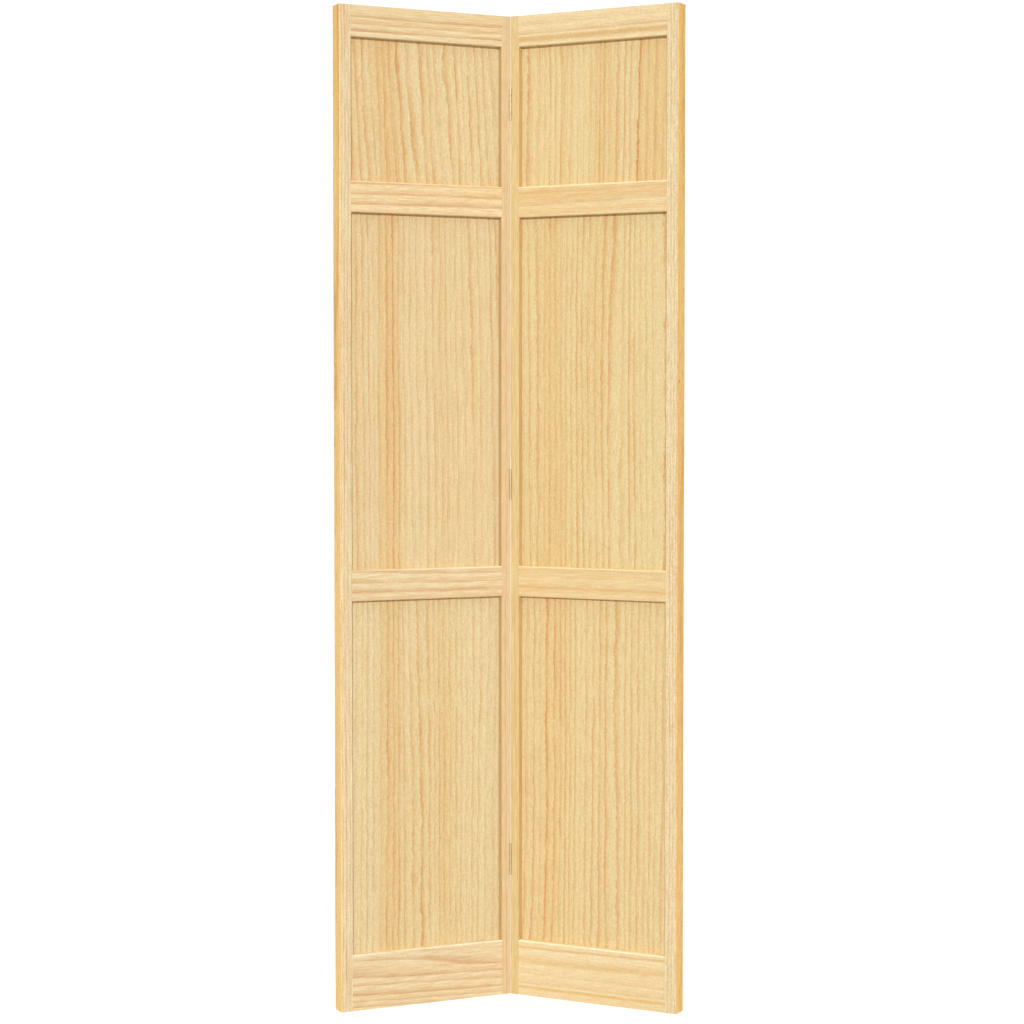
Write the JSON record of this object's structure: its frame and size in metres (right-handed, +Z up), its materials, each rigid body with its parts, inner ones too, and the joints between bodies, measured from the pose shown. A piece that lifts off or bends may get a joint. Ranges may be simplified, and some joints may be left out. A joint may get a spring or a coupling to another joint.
{
  "type": "bifold closet door",
  "caption": "Narrow wooden closet door in hinged leaves with flat recessed panels, folding along its middle to open a doorway.",
  "frame": {"origin": "on the floor, under the middle of the standing door's bounding box", "axes": "+Z up the door, +X across the doorway towards the lead leaf, -Y towards the side of the hinge pins, which is the side the picture shows"},
  "size_m": [0.6988, 0.2005, 2.0066],
  "materials": {
    "meeting_stile": "bare sanded pine, upright grain",
    "outer_stile": "bare sanded pine, upright grain",
    "rail": "bare sanded pine, grain across the leaf",
    "panel": "bare sanded pine, bold upright grain",
    "dowel": "plain birch dowel",
    "hinge_plate": "satin brass",
    "hinge_pin": "satin brass",
    "screw": "bright brass"
  },
  "bodies": {
    "pivot_leaf": {"pivot_leaf_meeting_stile": "meeting_stile", "pivot_leaf_outer_stile": "outer_stile", "pivot_leaf_bottom_rail": "rail", "pivot_leaf_lock_rail": "rail", "pivot_leaf_frieze_rail": "rail", "pivot_leaf_top_rail": "rail", "pivot_leaf_lower_panel": "panel", "pivot_leaf_middle_panel": "panel", "pivot_leaf_upper_panel": "panel", "pivot_leaf_dowel_bottom_rail_meeting_stile_1": "dowel", "pivot_leaf_dowel_bottom_rail_meeting_stile_2": "dowel", "pivot_leaf_dowel_bottom_rail_outer_stile_1": "dowel", "pivot_leaf_dowel_bottom_rail_outer_stile_2": "dowel", "pivot_leaf_dowel_lock_rail_meeting_stile": "dowel", "pivot_leaf_dowel_lock_rail_outer_stile": "dowel", "pivot_leaf_dowel_frieze_rail_meeting_stile": "dowel", "pivot_leaf_dowel_frieze_rail_outer_stile": "dowel", "pivot_leaf_dowel_top_rail_meeting_stile": "dowel", "pivot_leaf_dowel_top_rail_outer_stile": "dowel", "pivot_leaf_bottom_hinge_plate": "hinge_plate", "pivot_leaf_bottom_hinge_screw_lower": "screw", "pivot_leaf_bottom_hinge_screw_upper": "screw", "bottom_hinge_pin": "hinge_pin", "pivot_leaf_middle_hinge_plate": "hinge_plate", "pivot_leaf_middle_hinge_screw_lower": "screw", "pivot_leaf_middle_hinge_screw_upper": "screw", "middle_hinge_pin": "hinge_pin", "pivot_leaf_top_hinge_plate": "hinge_plate", "pivot_leaf_top_hinge_screw_lower": "screw", "pivot_leaf_top_hinge_screw_upper": "screw", "top_hinge_pin": "hinge_pin"},
    "lead_leaf": {"lead_leaf_meeting_stile": "meeting_stile", "lead_leaf_outer_stile": "outer_stile", "lead_leaf_bottom_rail": "rail", "lead_leaf_lock_rail": "rail", "lead_leaf_frieze_rail": "rail", "lead_leaf_top_rail": "rail", "lead_leaf_lower_panel": "panel", "lead_leaf_middle_panel": "panel", "lead_leaf_upper_panel": "panel", "lead_leaf_dowel_bottom_rail_meeting_stile_1": "dowel", "lead_leaf_dowel_bottom_rail_meeting_stile_2": "dowel", "lead_leaf_dowel_bottom_rail_outer_stile_1": "dowel", "lead_leaf_dowel_bottom_rail_outer_stile_2": "dowel", "lead_leaf_dowel_lock_rail_meeting_stile": "dowel", "lead_leaf_dowel_lock_rail_outer_stile": "dowel", "lead_leaf_dowel_frieze_rail_meeting_stile": "dowel", "lead_leaf_dowel_frieze_rail_outer_stile": "dowel", "lead_leaf_dowel_top_rail_meeting_stile": "dowel", "lead_leaf_dowel_top_rail_outer_stile": "dowel", "lead_leaf_bottom_hinge_plate": "hinge_plate", "lead_leaf_bottom_hinge_screw_lower": "screw", "lead_leaf_bottom_hinge_screw_upper": "screw", "lead_leaf_middle_hinge_plate": "hinge_plate", "lead_leaf_middle_hinge_screw_lower": "screw", "lead_leaf_middle_hinge_screw_upper": "screw", "lead_leaf_top_hinge_plate": "hinge_plate", "lead_leaf_top_hinge_screw_lower": "screw", "lead_leaf_top_hinge_screw_upper": "screw"}
  },
  "joints": [
    {"name": "fold", "type": "hinge", "parent": "pivot_leaf", "child": "lead_leaf", "pos_m": [0, 0.0693, 1.0033], "axis": [0, 0, -1], "range_deg": [-54, 121]}
  ]
}
